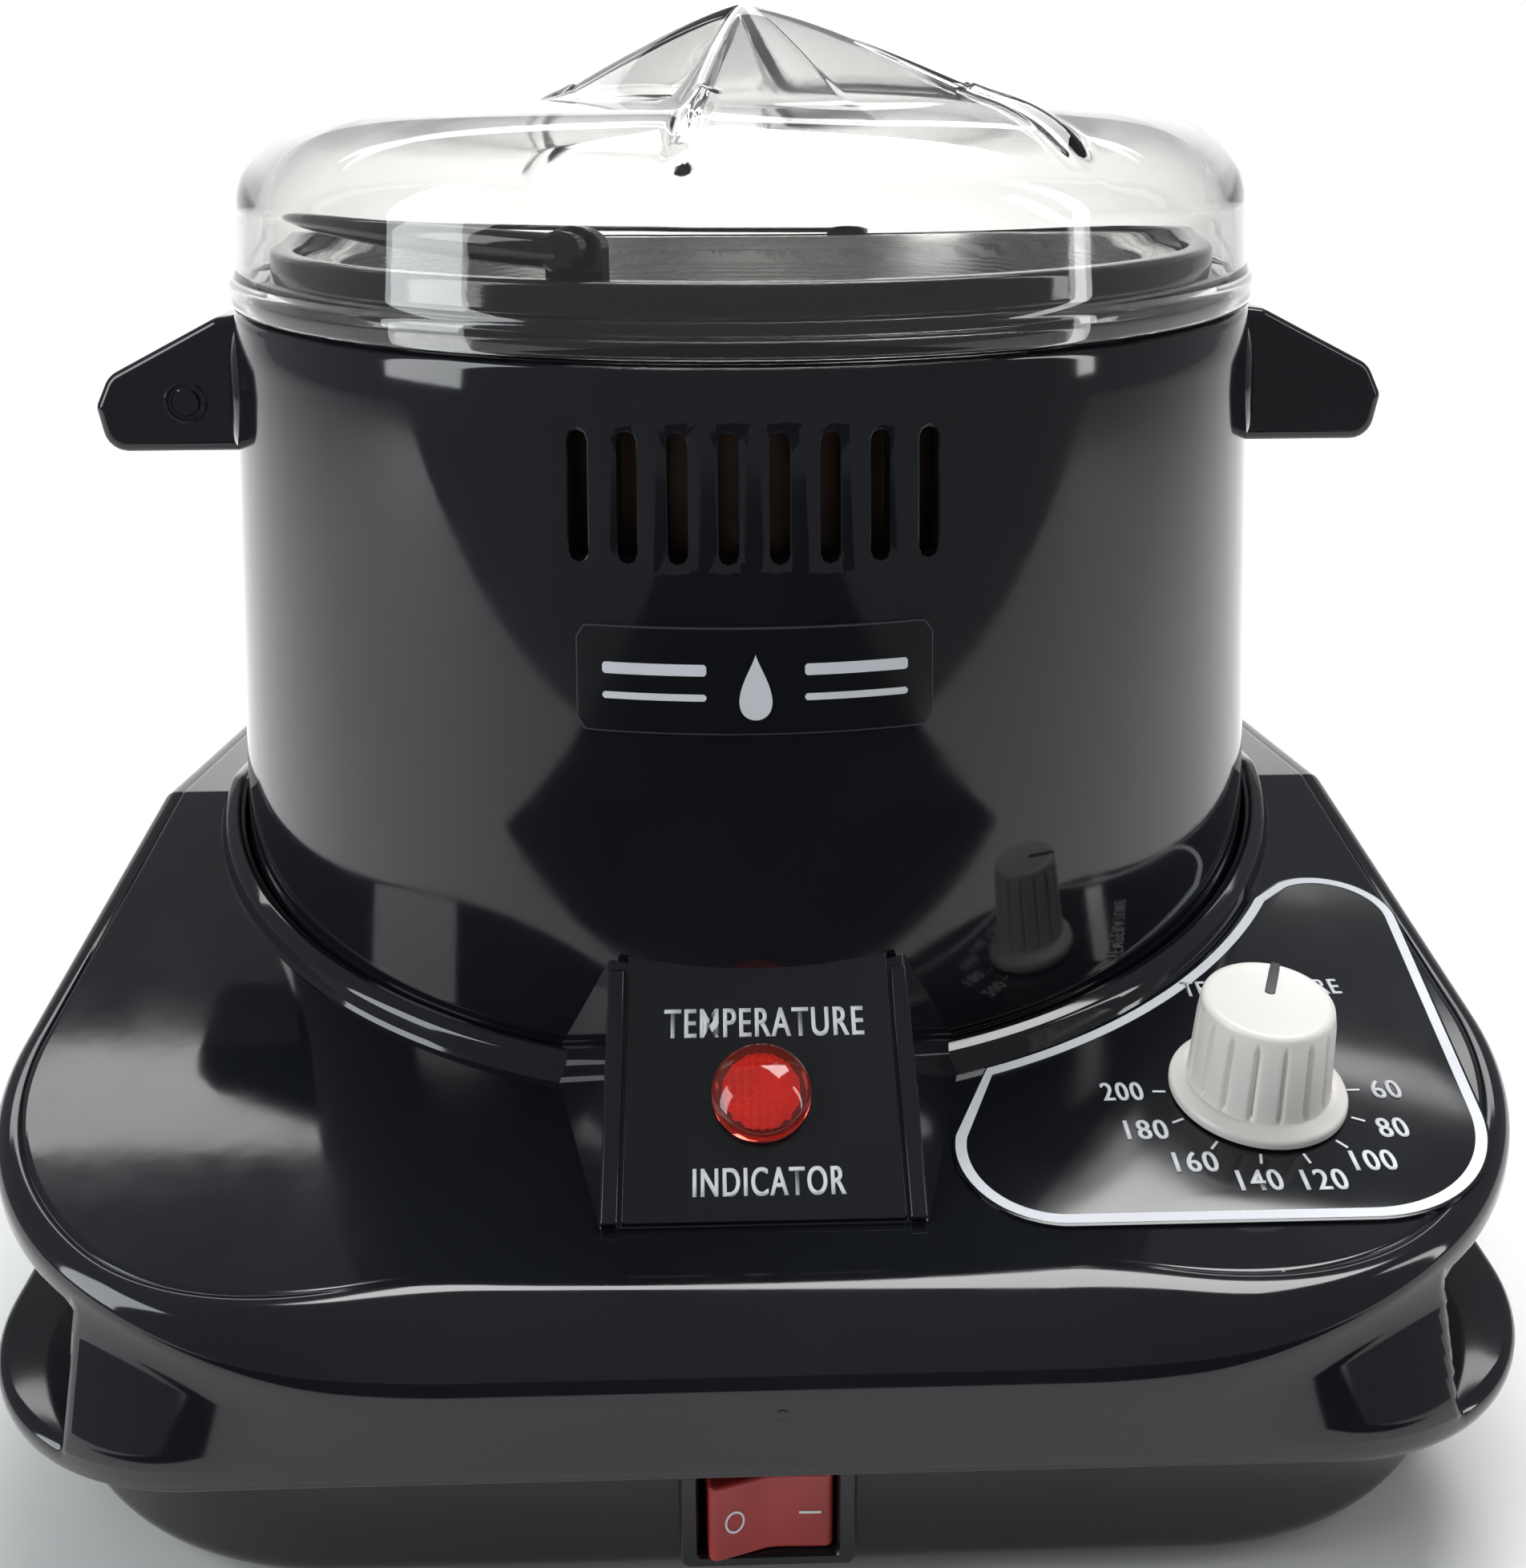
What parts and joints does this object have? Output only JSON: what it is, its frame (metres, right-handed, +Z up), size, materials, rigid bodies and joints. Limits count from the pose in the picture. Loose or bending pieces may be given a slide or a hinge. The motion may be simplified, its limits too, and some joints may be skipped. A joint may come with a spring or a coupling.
{
  "type": "wax warmer pot",
  "caption": "Electric wax warmer: a lift-out wax container with a swinging bail under a clear lid, in a round casing on a wide base with a dial knob, lamp and rocker switch.",
  "frame": {"origin": "on the ground, under the middle of the whole object's bounding box", "axes": "+Z up, the front with the switch and dial faces -Y, the dial is on the +X side"},
  "size_m": [0.212, 0.2221, 0.1888],
  "materials": {
    "gloss": "high gloss black",
    "black": "satin black",
    "clear": "clear moulded",
    "white": "satin white",
    "label": "printed film",
    "lamp": "clear red lens",
    "rocker": "translucent red",
    "steel": "plated",
    "aluminium": "spun",
    "brass": "plain",
    "mica": "mica sheet",
    "ceramic": "unglazed",
    "rubber": "moulded"
  },
  "bodies": {
    "base": {"band_heater": "mica", "base_cover": "gloss", "base_pan": "black", "base_screw_back_left": "steel", "base_screw_back_right": "steel", "base_screw_front_left": "steel", "base_screw_front_right": "steel", "cord_gland": "black", "dial_label": "label", "foot_back_left": "rubber", "foot_back_right": "rubber", "foot_front_left": "rubber", "foot_front_right": "rubber", "handle_left": "gloss", "handle_plug": "gloss", "handle_right": "gloss", "heater_well": "aluminium", "indicator_plate": "label", "insulation_sleeve": "ceramic", "lamp_body": "black", "lamp_lens": "lamp", "lamp_nut": "black", "name_plate": "label", "outer_casing": "gloss", "switch_body": "black", "terminal_block": "ceramic", "thermal_cutout": "ceramic", "thermostat_body": "ceramic", "thermostat_nut": "brass"},
    "knob": {"knob": "white", "knob_pointer": "black", "thermostat_shaft": "steel"},
    "rocker": {"rocker": "rocker"},
    "container": {"wax_container": "aluminium", "bail_lug_front": "gloss", "bail_lug_back": "gloss", "collar_ring": "gloss"},
    "lid": {"lid": "clear"},
    "bail": {"bail": "gloss"}
  },
  "joints": [
    {"name": "knob_turn", "type": "hinge", "parent": "base", "child": "knob", "pos_m": [0.065, -0.0738, 0.04823], "axis": [0, -0.1219, 0.9925], "range_deg": [-250, 0]},
    {"name": "switch_rock", "type": "hinge", "parent": "base", "child": "rocker", "pos_m": [0, -0.1021, 0.0135], "axis": [0, 0, 1], "range_deg": [-16, 0]},
    {"name": "container_lift", "type": "slide", "parent": "base", "child": "container", "axis": [0, 0, 1], "range_m": [0, 0.095]},
    {"name": "lid_lift", "type": "slide", "parent": "container", "child": "lid", "axis": [0, 0, 1], "range_m": [0, 0.18]},
    {"name": "bail_swing", "type": "hinge", "parent": "container", "child": "bail", "pos_m": [0, 0.018, 0.1562], "axis": [0.3338, 0.9426, 0], "range_deg": [0, 174]}
  ],
  "couplings": [
    {"joint": "bail_swing", "follows": "lid_lift", "rad_per_m": 16.8}
  ]
}
